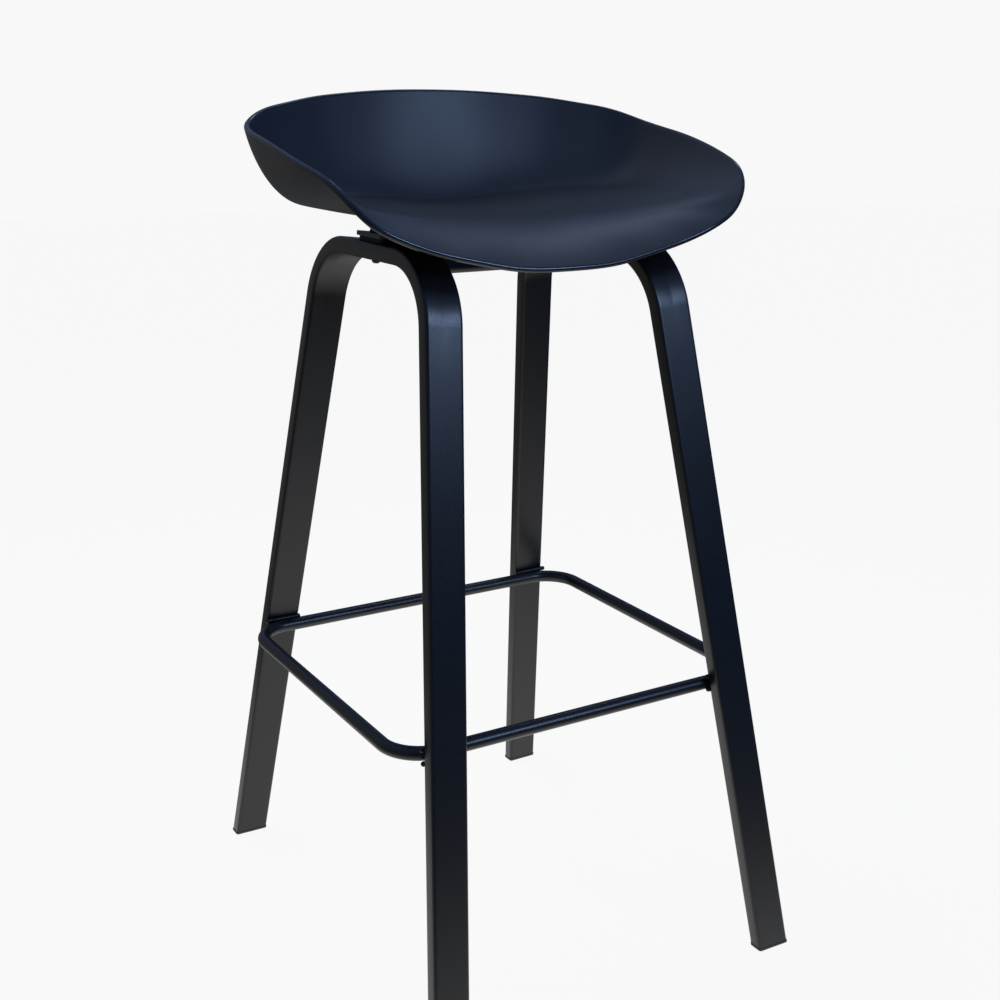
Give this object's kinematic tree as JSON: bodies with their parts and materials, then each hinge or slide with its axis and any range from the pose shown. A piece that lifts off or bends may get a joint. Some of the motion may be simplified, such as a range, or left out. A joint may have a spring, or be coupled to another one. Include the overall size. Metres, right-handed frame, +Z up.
{
  "type": "bar stool with footrest",
  "caption": "Bar stool with a low wrap-round moulded seat on two leaning arches of flat-sided tube, tied by a round-bar footrest ring, resting on plastic foot plugs.",
  "frame": {"origin": "on the floor, midway between the four feet", "axes": "+Z up, the front of the seat faces -Y, +X towards the side on the viewer's right as seen from the front"},
  "size_m": [0.4684, 0.5358, 0.8655],
  "materials": {
    "seat_plastic": "fine matte moulded grain, black with a slight blue cast",
    "frame_paint": "satin black powder coat on steel",
    "foot_plastic": "matte black",
    "pad_rubber": "matte black",
    "black_bolts": "black coated steel",
    "zinc_steel": "zinc plated steel",
    "brass_inserts": "turned brass"
  },
  "bodies": {
    "root": {"seat_shell": "seat_plastic", "seat_inserts": "brass_inserts", "seat_bolts": "zinc_steel", "seat_spring_washers": "zinc_steel", "seat_flat_washers": "zinc_steel", "seat_carrier": "frame_paint", "left_carrier_pad": "pad_rubber", "right_carrier_pad": "pad_rubber", "arch_bolts": "black_bolts", "arch_washers": "black_bolts", "arch_sleeves": "zinc_steel", "left_leg_arch": "frame_paint", "right_leg_arch": "frame_paint", "footrest_ring": "frame_paint", "footrest_welds": "frame_paint", "front_left_foot_plug": "foot_plastic", "front_right_foot_plug": "foot_plastic", "rear_left_foot_plug": "foot_plastic", "rear_right_foot_plug": "foot_plastic"}
  },
  "joints": []
}
